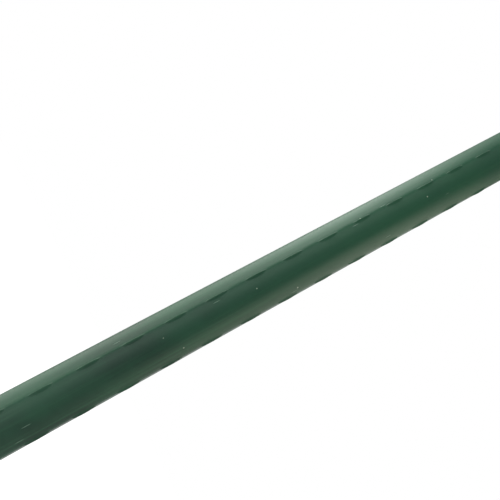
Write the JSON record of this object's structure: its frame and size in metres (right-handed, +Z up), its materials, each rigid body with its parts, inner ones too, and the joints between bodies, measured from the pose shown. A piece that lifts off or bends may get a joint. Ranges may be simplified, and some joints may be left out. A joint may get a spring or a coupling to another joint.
{
  "type": "plastic-coated steel garden stake",
  "caption": "Straight plastic-coated steel plant support stake with rows of raised grip nibs, a domed top cap and a pointed ground tip.",
  "frame": {"origin": "the lowest point of the ground tip, on the stake's axis", "axes": "+Z runs up the stake to the cap; the four rows of nibs face +X, +Y, -X and -Y"},
  "size_m": [0.014, 0.014, 0.6],
  "materials": {
    "galvanised_steel": "galvanised strip, bare inside and out",
    "green_coat": "satin extruded polyethylene",
    "cap_plastic": "satin moulded polyethylene"
  },
  "bodies": {
    "root": {"steel_tube": "galvanised_steel", "plastic_coat": "green_coat", "top_cap": "cap_plastic", "ground_tip": "cap_plastic"}
  },
  "joints": []
}
